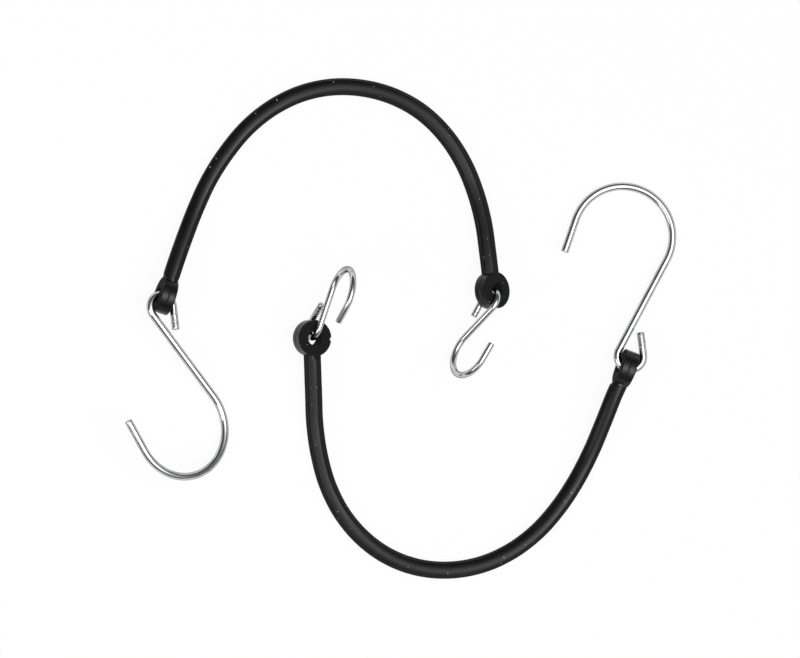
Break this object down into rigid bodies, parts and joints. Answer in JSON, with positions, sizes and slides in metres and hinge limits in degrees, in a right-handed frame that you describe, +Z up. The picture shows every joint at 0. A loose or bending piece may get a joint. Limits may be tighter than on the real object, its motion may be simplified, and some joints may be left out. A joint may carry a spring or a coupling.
{
  "type": "bungee cord",
  "caption": "Moulded rubber tie-down cords with ring eyes, a large open wire hook closed round one eye and a small one round the other, lying loose in facing arcs.",
  "frame": {"origin": "middle of the box round both cords, on the surface that they lie on", "axes": "+Z up from that surface, +X to the right and +Y to the top of the picture, seen from above"},
  "size_m": [0.3126, 0.2843, 0.0446],
  "materials": {
    "rubber": "satin black moulded rubber",
    "zinc_wire": "bright zinc-plated round wire"
  },
  "bodies": {
    "upper_cord": {"upper_strap": "rubber"},
    "upper_large_hook_body": {"upper_large_hook": "zinc_wire"},
    "upper_small_hook_body": {"upper_small_hook": "zinc_wire"},
    "lower_cord": {"lower_strap": "rubber"},
    "lower_large_hook_body": {"lower_large_hook": "zinc_wire"},
    "lower_small_hook_body": {"lower_small_hook": "zinc_wire"}
  },
  "joints": [
    {"name": "upper_large_hook_swing", "type": "hinge", "parent": "upper_cord", "child": "upper_large_hook_body", "pos_m": [-0.1345, 0.01855, 0.01084], "axis": [-0.9196, 0.3095, 0.2419], "range_deg": [0, 130]},
    {"name": "upper_small_hook_swing", "type": "hinge", "parent": "upper_cord", "child": "upper_small_hook_body", "pos_m": [0.0515, 0.0216, 0.00992], "axis": [0.715, 0.0789, 0.6947], "range_deg": [-120, 18]},
    {"name": "lower_cord_lift", "type": "slide", "parent": "upper_cord", "child": "lower_cord", "axis": [0, 0, 1], "range_m": [0, 0.08]},
    {"name": "lower_large_hook_swing", "type": "hinge", "parent": "lower_cord", "child": "lower_large_hook_body", "pos_m": [0.12755, -0.0227, 0.01073], "axis": [-0.9221, 0.3577, 0.1478], "range_deg": [-155, 0]},
    {"name": "lower_small_hook_swing", "type": "hinge", "parent": "lower_cord", "child": "lower_small_hook_body", "pos_m": [-0.0509, -0.0055, 0.0091], "axis": [0.4571, 0, 0.8894], "range_deg": [0, 165]}
  ]
}
